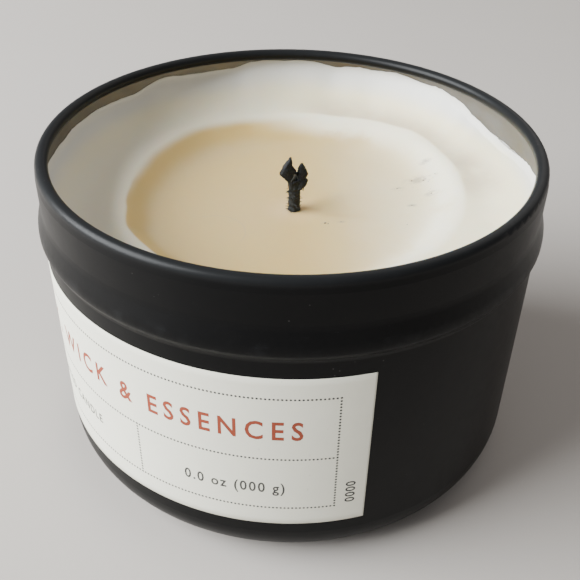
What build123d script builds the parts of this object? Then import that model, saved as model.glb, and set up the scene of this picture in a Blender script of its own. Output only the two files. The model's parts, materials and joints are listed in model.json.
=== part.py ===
from build123d import *
import os

os.makedirs("parts", exist_ok=True)

# A small candle tin with a partly burned candle in it. Millimetres, +Z up.
# The origin is the centre of the base, on the surface the tin stands on.

# Tin: a seamless cup drawn from thin sheet.
sheet = 0.25
height = 45.0
wall_r = 33.2
neck_r = 33.1
neck_low = 39.3
neck_high = 43.3
bead_r = 33.8
bead_low = 34.3
bead_mid = 35.9
curl_outer_r = 33.0
curl_tube_r = 0.83
corner_r = 6.0
panel_rise = 1.0
panel_r = 24.6
foot_inner_r = 26.2

# Wax: a burned pool with a soft step up to the ring that is left at the wall. The flame burned
# a little towards the back, so the pool isn't quite in the middle.
wall_gap = 0.05
pool_x = 0.3
pool_y = 3.5
pool_floor = 33.3
pool_r = 18.7
lip_r = 22.9
lip_top = 35.9
ring_r = 29.8
ring_top = 37.3
shore_top = 40.0
film_top = 42.9
film_thick = 0.35
film_from = 58
film_sweep = 76

# Wick and what holds it.
wick_x = 0.4
wick_y = 0.9
braid_r = 1.0
core_r = 0.3
stub_r = 0.88
stub_low = 32.7
pad_r = 9.0
pad_thick = 0.4
tab_r = 10.0
tab_thick = 0.3
tab_rib_r = 6.5
tab_rib = 0.35
tab_neck_r = 1.35
tab_neck_height = 6.0
crimp_r = 0.7
crimp_depth = 0.17

# Labels.
paper = 0.1
label_low = 7.9
label_high = 32.1
label_right = -72.8
label_sweep = 115.2
base_label_r = 20.0

floor_in = panel_rise + sheet
pad_top = floor_in + pad_thick
tab_top = pad_top + tab_thick
neck_top = tab_top + tab_neck_height
foot_outer_r = wall_r - corner_r
curl_r = curl_outer_r - curl_tube_r
curl_z = height - curl_tube_r


def wall_line(inset, top):
    """The wall's face from the foot ring up to a height on the neck, moved inwards by inset."""
    Line((foot_inner_r + 0.8 * inset, inset), (foot_outer_r, inset))
    CenterArc((foot_outer_r, corner_r), corner_r - inset, -90, 90)
    Line((wall_r - inset, corner_r), (wall_r - inset, bead_low))
    bead_edge = (bead_r - inset, bead_mid)
    Spline((wall_r - inset, bead_low), bead_edge, tangents=[(0, 1), (0, 1)])
    Spline(bead_edge, (neck_r - inset, neck_low), tangents=[(0, 1), (0, 1)])
    Line((neck_r - inset, neck_low), (neck_r - inset, top))


def foot_line(inset):
    """The soft step from the raised base panel down to the foot ring."""
    Line((0, panel_rise + inset), (panel_r + 0.8 * inset, panel_rise + inset))
    Spline(
        (panel_r + 0.8 * inset, panel_rise + inset),
        (foot_inner_r + 0.8 * inset, inset),
        tangents=[(1, 0), (1, 0)],
    )


# Tin body: one sheet, with a foot ring, a rounded corner, a bead, a neck for the lid, and a
# curl that is rolled inwards so that the edge is safe to touch.
curl_end = 285
with BuildPart() as tin_body:
    with BuildSketch(Plane.XZ):
        with BuildLine():
            foot_line(0)
            wall_line(0, neck_high)
            Line((neck_r, neck_high), (curl_outer_r, curl_z))
            curl_outside = CenterArc((curl_r, curl_z), curl_tube_r, 0, curl_end)
            curl_inside = CenterArc((curl_r, curl_z), curl_tube_r - sheet, 0, curl_end)
            Line(curl_outside @ 1, curl_inside @ 1)
            Line(curl_inside @ 0, (neck_r - sheet, neck_high))
            wall_line(sheet, neck_high)
            foot_line(sheet)
            Line((0, panel_rise), (0, floor_in))
        make_face()
    revolve(axis=Axis.Z)
tin_body.part.label = "tin_body"
export_step(tin_body.part, "parts/tin_body.step")


# Adhesive pad: the sticky disc that holds the metal tab to the base.
fit = 0.02
with BuildPart() as adhesive_pad:
    with BuildSketch(Plane.XY.offset(floor_in)):
        with Locations((wick_x, wick_y)):
            Circle(pad_r)
    extrude(amount=pad_thick)
adhesive_pad.part.label = "adhesive_pad"
export_step(adhesive_pad.part, "parts/adhesive_pad.step")


# Wick sustainer: a thin round tab with a raised rib, and a neck crimped on the wick.
wick_axis = Axis((wick_x, wick_y, 0), (0, 0, 1))
with BuildPart() as wick_sustainer:
    with BuildSketch(Plane.XZ.offset(-wick_y)):
        with BuildLine():
            Polyline(
                (wick_x + braid_r + fit, pad_top),
                (wick_x + tab_r, pad_top),
                (wick_x + tab_r, tab_top),
                (wick_x + tab_rib_r + 1, tab_top),
            )
            Spline(
                (wick_x + tab_rib_r + 1, tab_top),
                (wick_x + tab_rib_r, tab_top + tab_rib),
                (wick_x + tab_rib_r - 1, tab_top),
                tangents=[(-1, 0), (-1, 0)],
            )
            Line((wick_x + tab_rib_r - 1, tab_top), (wick_x + tab_neck_r + 1, tab_top))
            RadiusArc((wick_x + tab_neck_r + 1, tab_top), (wick_x + tab_neck_r, tab_top + 1), 1)
            Polyline(
                (wick_x + tab_neck_r, tab_top + 1),
                (wick_x + tab_neck_r, neck_top),
                (wick_x + braid_r + fit, neck_top),
                (wick_x + braid_r + fit, pad_top),
            )
        make_face()
    revolve(axis=wick_axis)
    with Locations(Location((wick_x, wick_y, neck_top - 2))):
        with PolarLocations(tab_neck_r + crimp_r - crimp_depth, 4):
            Sphere(crimp_r, mode=Mode.SUBTRACT)
wick_sustainer.part.label = "wick_sustainer"
export_step(wick_sustainer.part, "parts/wick_sustainer.step")


# Wax: it fills the tin up to the burned surface, climbs the wall, and leaves a thin film at the
# back. It is hollow where the wick and its holder stand.
wax_inset = sheet + wall_gap
wax_r = neck_r - wax_inset
with BuildPart() as wax_fill:
    with BuildSketch(Plane.XZ):
        with BuildLine():
            foot_line(wax_inset)
            wall_line(wax_inset, shore_top)
            Line((wax_r, shore_top), (wax_r - 0.3, shore_top))
            Spline(
                (wax_r - 0.3, shore_top),
                (ring_r, ring_top),
                (lip_r, lip_top),
                (0, lip_top - 2),
                tangents=[(-0.2, -1), (-1, 0)],
            )
            Line((0, lip_top - 2), (0, panel_rise + wax_inset))
        make_face()
    revolve(axis=Axis.Z)
    # The burned pool: a flat floor and a soft step up to its lip.
    with BuildSketch(Plane.XZ.offset(-pool_y)):
        with BuildLine():
            Line((pool_x, pool_floor), (pool_x + pool_r, pool_floor))
            Spline(
                (pool_x + pool_r, pool_floor),
                (pool_x + lip_r, lip_top),
                tangents=[(1, 0), (1, 0.9)],
            )
            Polyline(
                (pool_x + lip_r, lip_top),
                (pool_x + lip_r + 3, height),
                (pool_x, height),
                (pool_x, pool_floor),
            )
        make_face()
    revolve(axis=Axis((pool_x, pool_y, 0), (0, 0, 1)), mode=Mode.SUBTRACT)
    # The film at the back, over about a fifth of the way round.
    with BuildSketch(Plane.XY.offset(shore_top - 1)):
        with BuildLine():
            film_out = CenterArc((0, 0), wax_r, film_from, film_sweep)
            film_in = CenterArc((0, 0), wax_r - film_thick, film_from, film_sweep)
            Line(film_out @ 0, film_in @ 0)
            Line(film_out @ 1, film_in @ 1)
        make_face()
    extrude(amount=film_top - shore_top + 1)
    # Room for the wick, its holder and the pad.
    add(adhesive_pad.part, mode=Mode.SUBTRACT)
    add(wick_sustainer.part, mode=Mode.SUBTRACT)
    with BuildSketch(Plane.XY.offset(pad_top - fit)):
        with Locations((wick_x, wick_y)):
            Circle(braid_r + fit)
    extrude(amount=height, mode=Mode.SUBTRACT)
wax_fill.part.label = "wax_fill"
export_step(wax_fill.part, "parts/wax_fill.step")


# Wick braid: the length of cotton that hasn't burned, hollow around its core.
with BuildPart() as wick_braid:
    with BuildSketch(Plane.XY.offset(pad_top)):
        with Locations((wick_x, wick_y)):
            Circle(braid_r)
            Circle(core_r + 0.03, mode=Mode.SUBTRACT)
    extrude(amount=stub_low - pad_top)
wick_braid.part.label = "wick_braid"
export_step(wick_braid.part, "parts/wick_braid.step")


# Wick core: the stiff thread inside the braid.
with BuildPart() as wick_core:
    with BuildSketch(Plane.XY.offset(pad_top)):
        with Locations((wick_x, wick_y)):
            Circle(core_r)
    extrude(amount=stub_low - pad_top)
wick_core.part.label = "wick_core"
export_step(wick_core.part, "parts/wick_core.step")


# Charred wick: the burned stub, with a head that has split into two lobes. The lobes are drawn
# from the front, in a frame that has its origin where the wick leaves the wax.
head = Plane(origin=(wick_x, wick_y, pool_floor), x_dir=(1, 0, 0), z_dir=(0, -1, 0))
left_thick = 1.1
right_thick = 0.9
with BuildPart() as wick_char:
    with BuildSketch(Plane.XY.offset(stub_low)):
        with Locations((wick_x, wick_y)):
            Circle(stub_r)
    extrude(amount=pool_floor + 4.6 - stub_low)
    with BuildSketch(head.offset(-left_thick / 2)):
        with BuildLine():
            Polyline((0.3, 3.3), (-0.85, 3.3), (-1.25, 4.7), (-2.2, 5.6))
            Spline((-2.2, 5.6), (-1.8, 6.7), (-0.62, 8.15), tangents=[(0, 1), (1, 0.7)])
            Polyline((-0.62, 8.15), (-0.35, 6.4), (0.25, 5.9), (0.3, 3.3))
        make_face()
    extrude(amount=left_thick)
    with BuildSketch(head.offset(-right_thick / 2)):
        with BuildLine():
            Polyline((0, 3.3), (0.2, 5.9), (0.42, 6.6))
            Spline((0.42, 6.6), (1.0, 7.35), (1.53, 6.6), (1.9, 5.55))
            Polyline((1.9, 5.55), (1.6, 4.95), (1.93, 4.65), (1.74, 3.9), (0.85, 3.25), (0, 3.3))
        make_face()
    extrude(amount=right_thick)
wick_char.part.label = "wick_char"
export_step(wick_char.part, "parts/wick_char.step")


# Side label: a paper wrap on the wall, from its right edge round to the far side.
with BuildPart() as side_label:
    with BuildSketch(Plane.XY.offset(label_low)):
        with BuildLine():
            face_out = CenterArc((0, 0), wall_r + 0.01 + paper, label_right, -label_sweep)
            face_in = CenterArc((0, 0), wall_r + 0.01, label_right, -label_sweep)
            Line(face_out @ 0, face_in @ 0)
            Line(face_out @ 1, face_in @ 1)
        make_face()
    extrude(amount=label_high - label_low)
side_label.part.label = "side_label"
export_step(side_label.part, "parts/side_label.step")


# Base label: a round sticker in the recess under the base.
with BuildPart() as base_label:
    with BuildSketch(Plane.XY.offset(panel_rise - paper - 0.01)):
        Circle(base_label_r)
    extrude(amount=paper)
base_label.part.label = "base_label"
export_step(base_label.part, "parts/base_label.step")


# Soot crumbs: flakes of burned wick that fell on the wax. Each is (x, y, length, turn).
crumb_thick = 0.14
crumbs = [
    (4.7, -2.7, 0.6, -35),
    (6.9, -2.3, 0.35, 10),
    (15.5, 7.1, 0.4, -15),
    (16.9, 8.4, 0.5, 25),
    (17.3, 6.4, 0.35, 60),
    (17.1, 2.1, 0.35, 40),
    (15.9, -3.1, 0.3, -10),
]
with BuildPart() as soot_crumbs:
    for x, y, length, turn in crumbs:
        with Locations(Location((x, y, pool_floor + 0.01 + crumb_thick / 2), (0, 0, turn))):
            Box(length, 0.6 * length, crumb_thick)
soot_crumbs.part.label = "soot_crumbs"
export_step(soot_crumbs.part, "parts/soot_crumbs.step")
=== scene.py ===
# %% [markdown]
# # A candle tin, partly burned
#
# The tin stands on a pale floor: a black sheet-metal cup, cream wax that has burned down into a
# pool, a charred wick, and a paper label round the wall. The CAD model is the frame. It holds
# every size, and this lesson adds what the eye looks for: wax that glows at its edges, print on
# the paper, char on the wick, and the marks that use leaves on black paint.
#
# Everything is in metres, in the CAD model's own frame: the origin is the centre of the base,
# +Z is up, and the label faces -Y.

# %% Load the CAD model as a fixed frame
import json
import math
import random

import bmesh
import bpy
from mathutils import Matrix, Vector, noise

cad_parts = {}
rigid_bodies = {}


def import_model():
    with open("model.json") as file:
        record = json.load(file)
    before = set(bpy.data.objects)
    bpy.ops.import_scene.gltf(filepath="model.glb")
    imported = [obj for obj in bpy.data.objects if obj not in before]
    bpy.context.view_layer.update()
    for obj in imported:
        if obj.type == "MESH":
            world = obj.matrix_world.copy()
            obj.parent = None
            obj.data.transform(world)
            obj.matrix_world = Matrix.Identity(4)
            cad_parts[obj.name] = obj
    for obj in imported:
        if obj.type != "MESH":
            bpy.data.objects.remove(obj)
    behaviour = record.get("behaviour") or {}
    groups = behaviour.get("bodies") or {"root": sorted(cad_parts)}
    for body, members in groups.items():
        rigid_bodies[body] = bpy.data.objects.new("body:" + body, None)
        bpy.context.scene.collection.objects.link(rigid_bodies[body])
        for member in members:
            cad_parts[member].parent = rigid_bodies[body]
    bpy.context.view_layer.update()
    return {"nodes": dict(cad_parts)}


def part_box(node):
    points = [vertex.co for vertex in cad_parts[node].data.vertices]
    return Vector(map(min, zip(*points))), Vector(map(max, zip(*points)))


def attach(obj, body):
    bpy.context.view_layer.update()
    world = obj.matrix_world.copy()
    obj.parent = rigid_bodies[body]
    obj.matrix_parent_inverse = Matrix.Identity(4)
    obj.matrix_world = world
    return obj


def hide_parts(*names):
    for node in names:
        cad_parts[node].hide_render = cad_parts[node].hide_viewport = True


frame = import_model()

mm = 0.001
tin_low, tin_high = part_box("tin_body")
full_turn = 2 * math.pi
print("the tin is %.1f mm tall" % ((tin_high[2] - tin_low[2]) / mm))

# %% [markdown]
# ## Sizes that the lesson uses
#
# A tin is drawn from one sheet, so a few radii describe it. The wall carries the label, the neck
# above the bead takes the lid, and the curl closes the edge. The wax is described by its pool.

# %% Name the driving sizes
wall_r = 33.2 * mm
neck_inner_r = 32.85 * mm
sheet = 0.25 * mm
corner_r = 6.0 * mm
bead_r = tin_high[0]
bead_low = 34.3 * mm
bead_mid = 35.9 * mm
curl_low = 43.36 * mm
wick_x = 0.4 * mm
wick_y = 0.9 * mm
pool_x = 0.3 * mm
pool_y = 3.5 * mm
pool_floor = 33.3 * mm
lip_r = 22.9 * mm
lip_height = 35.7 * mm
shore_r = 32.55 * mm
print("bead radius %.2f mm" % (bead_r / mm))

# %% [markdown]
# ## The camera
#
# The candle is seen from above, close to, as a person sees it on a table. The camera circles the
# base centre, so its place is one distance and one angle, and then it tilts up a little to
# bring the candle's top into the middle of the frame.

# %% Set up the camera
camera_distance = 134.5 * mm
camera_height_angle = math.radians(42.92)
camera_dip = math.radians(36.08)
camera_turn = math.radians(-0.035)
camera_roll = math.radians(1.15)
camera_lens = 50.56

camera_data = bpy.data.cameras.new("camera")
camera_data.lens = camera_lens
camera_data.sensor_width = 36.0
camera_data.clip_start = 0.005
camera = bpy.data.objects.new("camera", camera_data)
bpy.context.scene.collection.objects.link(camera)
camera_place = Vector((0, -math.cos(camera_height_angle), math.sin(camera_height_angle)))
camera.matrix_world = (
    Matrix.Translation(camera_place * camera_distance)
    @ Matrix.Rotation(camera_turn, 4, "Z")
    @ Matrix.Rotation(math.pi / 2 - camera_dip, 4, "X")
    @ Matrix.Rotation(camera_roll, 4, "Z")
)
bpy.context.scene.camera = camera
print("camera at", [round(c / mm, 1) for c in camera.location], "mm")

# %% [markdown]
# ## Two small tools: wires and trees
#
# A material and a Geometry Nodes modifier are both trees of nodes. Wiring them by hand hides the
# idea, so a `Wire` wraps one output socket and lets Python's own operators add Math nodes:
# `1 - mask * 0.5` then reads as it is meant. `above` and `below` turn a number into a mask.

# %% Wrap a socket, so that sums can be written as Python
class Wire:
    """One output socket of a node tree."""

    def __init__(self, tree, socket):
        self.tree = tree
        self.socket = socket

    def math(self, operation, *others, **settings):
        settings["operation"] = operation
        return self.tree.add("ShaderNodeMath", settings, dict(enumerate((self,) + others)))

    def __add__(self, other):
        return self.math("ADD", other)

    def __sub__(self, other):
        return self.math("SUBTRACT", other)

    def __rsub__(self, other):
        return self.tree.value(other).math("SUBTRACT", self)

    def __mul__(self, other):
        return self.math("MULTIPLY", other)

    def __truediv__(self, other):
        return self.math("DIVIDE", other)

    __radd__ = __add__
    __rmul__ = __mul__

    def above(self, edge, soft=0.0001):
        """0 below the edge and 1 above it, with a soft step that is that wide."""
        return self.tree.ramp(self, edge - soft / 2, edge + soft / 2)

    def below(self, edge, soft=0.0001):
        return 1 - self.above(edge, soft)


print("a wire can", ", ".join(sorted(word for word in vars(Wire) if word.isalpha())))

# %% [markdown]
# A `Tree` is the other tool. Its one method, `add`, makes any kind of node, with its settings
# first and its sockets after. The rest are the few nodes that are wanted again and again.

# %% Wrap a tree, so that one call makes one node
class Tree:
    """A node tree, and one method that adds any node to it."""

    def __init__(self, nodes_and_links):
        self.tree = nodes_and_links

    def add(self, kind, settings=None, inputs=None, out=0):
        node = self.tree.nodes.new(kind)
        for key, value in (settings or {}).items():
            setattr(node, key, value)
        for key, value in (inputs or {}).items():
            if isinstance(value, Wire):
                self.tree.links.new(value.socket, node.inputs[key])
            else:
                node.inputs[key].default_value = value
        return Wire(self, node.outputs[out]) if len(node.outputs) else node

    def value(self, number):
        return self.add("ShaderNodeMath", {"operation": "ADD"}, {0: number, 1: 0.0})

    def ramp(self, wire, low, high):
        """Maps low..high smoothly to 0..1."""
        settings = {"interpolation_type": "SMOOTHSTEP"}
        return self.add("ShaderNodeMapRange", settings, {0: wire, 1: low, 2: high})

    def mix(self, factor, a, b):
        """Mixes two colours."""
        return self.add("ShaderNodeMix", {"data_type": "RGBA"}, {0: factor, 6: a, 7: b}, out=2)


print("a tree can", ", ".join(sorted(word for word in vars(Tree) if word.isalpha())))

# %% [markdown]
# ## A material is a tree with a Principled shader at its end
#
# Each finish starts from the piece's own coordinates. They are metres here, so noise scales are
# large numbers: 1000 means a pattern about a millimetre wide.

# %% Start a material and read the piece's own coordinates
class Finish(Tree):
    """A material: its coordinates, its noises and the Principled shader at its end."""

    def __init__(self, name):
        self.material = bpy.data.materials.new(name)
        self.material.use_nodes = True
        super().__init__(self.material.node_tree)
        self.tree.nodes.clear()
        self.where = self.add("ShaderNodeTexCoord", out="Object")
        axes = [self.add("ShaderNodeSeparateXYZ", None, {0: self.where}, out=i) for i in range(3)]
        self.x, self.y, self.z = axes
        self.radius = self.far_from(0.0, 0.0)
        self.azimuth = self.y.math("ARCTAN2", self.x)

    def stretched(self, stretch):
        if not stretch:
            return self.where
        return self.add("ShaderNodeMapping", None, {"Vector": self.where, "Scale": stretch})

    def noise(self, scale, detail=4.0, rough=0.55, stretch=None):
        sockets = {"Vector": self.stretched(stretch), "Scale": scale, "Detail": detail, "Roughness": rough}
        return self.add("ShaderNodeTexNoise", None, sockets)

    def cells(self, scale, stretch=None):
        return self.add("ShaderNodeTexVoronoi", None, {"Vector": self.stretched(stretch), "Scale": scale})

    def far_from(self, x, y):
        """The distance from the upright line through x, y."""
        across = self.x - x
        along = self.y - y
        return (across * across + along * along).math("SQRT")

    def bump(self, height, distance, strength=1.0, under=None):
        sockets = {"Height": height, "Distance": distance, "Strength": strength}
        if under:
            sockets["Normal"] = under
        return self.add("ShaderNodeBump", None, sockets)

    def principled(self, **sockets):
        """A Principled shader. Socket names are written with _ for a space."""
        named = {key.replace("_", " "): value for key, value in sockets.items()}
        return self.add("ShaderNodeBsdfPrincipled", None, named)

    def end(self, shader):
        self.add("ShaderNodeOutputMaterial", None, {"Surface": shader})
        print("finish:", self.material.name, "with", len(self.tree.nodes), "nodes")
        return self.material

    def finish(self, **sockets):
        return self.end(self.principled(**sockets))


# %% [markdown]
# ## Black paint outside, bare tinplate inside
#
# Such tins are printed or sprayed black as a flat sheet, then drawn, so the paint is thin and
# even, with a fine grain and a soft sheen. It wraps over the curl and stops under it. Inside,
# the sheet is bare tin, dulled by wax and heat. The CAD mesh stays as it is. One material tells
# inside from outside by radius and height, so it needs no separate piece.

# %% Make the tin's finish
def tin_finish():
    f = Finish("tin_paint_and_plate")
    grain = f.noise(5200, 5, 0.65)
    cloud = f.noise(60, 3)
    rub = f.noise(420, 6, 0.7)
    dust = f.cells(900)
    inside = f.radius.below(neck_inner_r + 0.12 * mm, 0.02 * mm) * f.z.below(curl_low, 0.02 * mm)
    inside = inside * f.z.above(20 * mm, 1 * mm)

    # Paint: nearly black, greyer where fingers and lids have rubbed it.
    paint = f.mix(cloud.above(0.5, 0.5), (0.0018, 0.0020, 0.0023, 1), (0.0030, 0.0031, 0.0033, 1))
    on_curl = f.z.above(44.2 * mm, 0.8 * mm)
    on_bead = f.radius.above(33.62 * mm, 0.22 * mm)
    # The curl is painted lighter all round. This is partly rubbed paint and partly a painted sheen that
    # stands in for the curl's highlight.
    paint = f.mix(on_curl * 0.8, paint, (0.0110, 0.0116, 0.0122, 1))
    worn = (on_curl + on_bead).math("MINIMUM", 1.0) * rub.above(0.56, 0.16)
    paint = f.mix(worn * 0.25, paint, (0.012, 0.013, 0.014, 1))
    speck = dust.below(0.075, 0.04) * f.noise(130, 2).above(0.60, 0.06)
    paint = f.mix(speck * 0.35, paint, (0.11, 0.105, 0.10, 1))
    scratch = f.noise(300, 2, 0.5, stretch=(1.0, 1.0, 14.0)).math("SUBTRACT", 0.5).math("ABSOLUTE")
    scratch = scratch.below(0.0035, 0.004) * rub.above(0.60, 0.05) * f.z.above(33 * mm, 2 * mm)
    paint = f.mix(scratch * 0.30, paint, (0.035, 0.036, 0.038, 1))

    # Plate: grey metal with a faint grain that runs round, and a haze of wax above the shore. It is
    # painted darker at the left: painted shade on the inner wall that the window's light doesn't reach.
    brushed = f.noise(900, 4, 0.6, stretch=(1.0, 1.0, 9.0))
    plate = f.mix(brushed, (0.135, 0.129, 0.120, 1), (0.175, 0.170, 0.163, 1))
    haze = f.noise(190, 5, 0.6, stretch=(1.0, 1.0, 2.2)).above(0.50, 0.40)
    plate = f.mix(haze * 0.20, plate, (0.21, 0.205, 0.19, 1))
    plate = f.mix(f.x.below(-8 * mm, 16 * mm) * 0.40, plate, (0.075, 0.066, 0.056, 1))

    colour = f.mix(inside, paint, plate)
    paint_rough = 0.29 + cloud * 0.06 + rub * 0.09 - worn * 0.04
    plate_rough = 0.30 + brushed * 0.10 + haze * 0.22
    rough = paint_rough + inside * (plate_rough - paint_rough)
    metal = inside * (1 - haze * 0.1)
    height = grain * 0.5 + brushed * inside * 0.8
    normal = f.bump(height, 0.012 * mm, 0.5, under=f.bump(f.noise(700, 3), 0.03 * mm, 0.25))
    return f.finish(
        Base_Color=colour, Roughness=rough, Metallic=metal, Normal=normal, Specular_IOR_Level=0.11
    )


tin = frame["nodes"]["tin_body"]
tin.data.materials.clear()
tin.data.materials.append(tin_finish())

# %% [markdown]
# ## Building meshes ring by ring
#
# Wax, paper and char are all skins over a stack of rings. One helper makes such a skin. It can
# close end to end, like a ring doughnut, or be capped at both ends. The normals are set right
# at the end, once, because a ring order that looks natural may turn a skin inside out.

# %% Make a skin over rings of points
def skin(name, rings, joined_ends=False, caps=True):
    """A mesh over closed rings that all have the same number of points."""
    shape = bmesh.new()
    loops = [[shape.verts.new(p) for p in ring] for ring in rings]
    count = len(rings[0])
    pairs = list(zip(loops, loops[1:]))
    if joined_ends:
        pairs.append((loops[-1], loops[0]))
    for low, high in pairs:
        for i in range(count):
            j = (i + 1) % count
            shape.faces.new((low[i], low[j], high[j], high[i]))
    if caps and not joined_ends:
        for end in (loops[0], loops[-1]):
            middle = sum((v.co for v in end), Vector()) / count
            pole = shape.verts.new(middle)
            for i in range(count):
                shape.faces.new((end[i], end[(i + 1) % count], pole))
    bmesh.ops.recalc_face_normals(shape, faces=shape.faces[:])
    mesh = bpy.data.meshes.new(name)
    shape.to_mesh(mesh)
    shape.free()
    mesh.shade_smooth()
    return mesh


print("a skin needs rings of points, each with the same number")

# %% [markdown]
# Every piece joins the scene the same way. It gets its mesh and its material first. When it is a
# plain mesh, without modifiers, it is settled: fixed to the body, and the CAD node that it stands
# for, if any, is hidden. Two bends help to shape the wax: a ramp with a soft corner, and a soft minimum.

# %% Add, flatten and settle a piece
def new_piece(name, mesh, material):
    piece = bpy.data.objects.new(name, mesh)
    bpy.context.scene.collection.objects.link(piece)
    piece.data.materials.clear()
    piece.data.materials.append(material)
    return piece


def settle(piece, node=None):
    """Fixes a finished piece to the one body, and hides the CAD node it stands for, if one is given."""
    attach(piece, "root")
    if node:
        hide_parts(node)


def flatten(piece):
    """Turns a piece with live modifiers into a plain mesh and removes them."""
    view = bpy.context.evaluated_depsgraph_get()
    mesh = bpy.data.meshes.new_from_object(piece.evaluated_get(view), depsgraph=view)
    piece.modifiers.clear()
    piece.data = mesh


def smooth_ramp(d, width):
    """0 well below zero, d well above it, and a bend that is that wide between."""
    return (d + math.sqrt(d * d + width * width)) / 2


def smooth_min(a, b, width):
    return b - smooth_ramp(b - a, width)


print("a soft minimum of 1 and 1 is %.2f" % smooth_min(1.0, 1.0, 0.2))

# %% [markdown]
# ## The wax
#
# A candle burns a pool into its wax. The floor sets flat, a soft step climbs to the lip, and
# beyond it a ring is left that the flame never quite reached. At the wall, melted wax has crept
# up and set as a thin film with a ragged shore, higher at the back.
#
# A sculpted plane would do for the top, but wax lets light in, so its thickness matters. The
# piece is therefore a closed solid: one profile from the wick's hole, across the pool, up the
# wall, down the outside and back under, worked out afresh for every direction. The profile's
# inner part turns about the wick, its outer part about the tin, and the pool has a centre of
# its own, a little towards the back.
#
# The shore and the lip are uneven in a way that no formula gives, so each has a short table of
# directions, and the values between are read off smoothly. Noise adds the small ragged part.

# %% Describe the shore on the wall
# Both tables go from degrees round the tin to mm: the shore's height, and the lip's radius.
shore_heights = {
    -150: 39.8, -90: 39.6, -30: 40.0, 3: 39.9, 11: 39.5, 20: 39.0, 27: 39.5, 32: 40.3, 38: 41.4,
    45: 42.2, 58: 42.7, 70: 42.6, 78: 42.2, 86: 43.0, 101: 43.0, 108: 42.0, 118: 41.9, 129: 42.4,
    140: 41.2, 153: 41.4, 163: 41.1, 170: 40.5, 180: 40.3,
}

lip_radii = {
    -165: 23.7, -150: 24.7, -120: 25.0, -90: 24.2, -45: 23.0, 0: 22.5, 17: 22.6, 37: 23.2, 53: 22.6,
    75: 21.7, 96: 21.9, 118: 22.6, 132: 23.2, 151: 22.9, 171: 22.7, 180: 23.1,
}


def round_trip(table, angle):
    """Reads a table of degrees to value, smoothly, all the way round."""
    keys = sorted(table)
    keys = [keys[-1] - 360] + keys + [keys[0] + 360]
    values = [table[(k + 180) % 360 - 180 if (k + 180) % 360 else 180] for k in keys]
    for (a, u), (b, v) in zip(zip(keys, values), zip(keys[1:], values[1:])):
        if a <= angle <= b:
            t = (angle - a) / (b - a)
            return u + (v - u) * t * t * (3 - 2 * t)
    return values[0]


def shore(angle):
    """The height of the wax's edge on the wall, in that direction."""
    degrees = (math.degrees(angle) + 180) % 360 - 180
    around = Vector((math.cos(angle), math.sin(angle), 0.0))
    ragged = 0.26 * noise.fractal(around * 9.0, 0.6, 2.0, 4) + 0.12 * noise.noise(around * 60.0)
    calm = 0.35 + 0.65 * smooth_ramp(math.cos(angle - math.radians(20)), 0.3)
    return (round_trip(shore_heights, degrees) + ragged * calm) * mm


print("shore from %.1f to %.1f mm" % tuple(
    pick(shore(math.radians(a)) / mm for a in range(0, 360, 5)) for pick in (min, max)
))

# %% [markdown]
# Two surfaces cross at the lip: the pool with its step, and the ring, a gentle cone that sweeps up
# to the wall. Each is worked out over the whole candle, and the lower one is the wax. Taking a
# soft minimum rounds the lip, crisply at the left and widely at the right.

# %% Describe the pool, the ring and the surface
def hill(distance, width):
    """1 at no distance, falling away smoothly over the width."""
    return math.exp(-((distance / width) ** 2))


cove_start = 26.0
flat_until = 17.0
film_drop = 0.9


def step_and_ring(x, y):
    """The heights in mm of the pool's step, of the ring and of the ring without its cove."""
    from_axis = math.hypot(x, y) / mm
    from_pool = math.hypot(x - pool_x, y - pool_y) / mm
    angle = math.atan2(y, x)
    degrees = math.degrees(angle)
    around = Vector((x, y, 0.0)) / (9 * mm)
    swell = 0.20 * noise.noise(around) + 0.07 * noise.noise(around * 2.6)

    # The ring: a gentle cone, and a cove that sweeps up to the wall.
    wall_height = round_trip(shore_heights, degrees) - film_drop
    cove = min(1.0, max(0.0, (from_axis - cove_start) / (shore_r / mm - cove_start))) ** 2.3
    slope = 0.135 + 0.035 * math.cos(angle)
    cone_r = flat_until + smooth_ramp(from_axis - flat_until, 2)
    ring = lip_height / mm + slope * (cone_r - lip_r / mm)
    ring_at_wall = lip_height / mm + slope * (shore_r - lip_r) / mm
    ring += swell * min(1.0, max(0.0, (from_pool - 21.0) / 4.0))
    turn = math.atan2(y - pool_y, x - pool_x)
    past_lip = from_pool - round_trip(lip_radii, math.degrees(turn))
    right_back = hill(degrees - 38, 42)
    ring += right_back * (0.42 * hill(past_lip - 0.5, 1.5) - 0.38 * hill(past_lip - 4.0, 2.2))

    # The pool: a flat floor, and a step that is crisp on the left and soft on the right.
    soft = softness(angle)
    steepness = 0.84 - 0.16 * soft
    step = pool_floor / mm + steepness * smooth_ramp(past_lip + 2.4 / steepness, 0.9 + 1.6 * soft)
    step += 0.5 * max(0.0, past_lip - 1.0) ** 2
    return step, ring + (wall_height - ring_at_wall) * cove, ring


def softness(angle):
    """0 where the lip is crisp, at the left and front, and 1 where it is soft."""
    return 0.5 + 0.5 * math.cos(angle - math.radians(35))


def surface(x, y):
    """The height of the wax at a point of its open surface."""
    step, ring, _ = step_and_ring(x, y)
    height = smooth_min(step, ring, 0.25 + 0.60 * softness(math.atan2(y, x)))
    around = Vector((x, y, 0.0)) / (9 * mm)
    floor_swell = 0.05 * noise.noise(around * 1.7) + 0.02 * noise.noise(around * 6.0)
    from_wick = math.hypot(x - wick_x, y - wick_y) / mm
    collar = 0.04 * hill(from_wick - 0.8, 0.6) - 0.05 * hill(from_wick - 3.0, 1.8)
    return (height + floor_swell + collar) * mm


print("the pool's floor is at %.2f mm" % (surface(pool_x, pool_y) / mm))
print("the ring on the left is at %.2f mm" % (surface(-28 * mm, 0.0) / mm))

# %% [markdown]
# The radii of the profile are closer together where the surface bends: at the wick, at the step
# and at the wall. Below the shore the profile is the tin's own, less the sheet, and underneath it
# leaves room for the base panel, the pad, the tab and the plait.

# %% Draw the profile
def spread(start, end, count):
    """count radii from start to end, the end left out."""
    return [start + (end - start) * i / count for i in range(count)]


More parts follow.
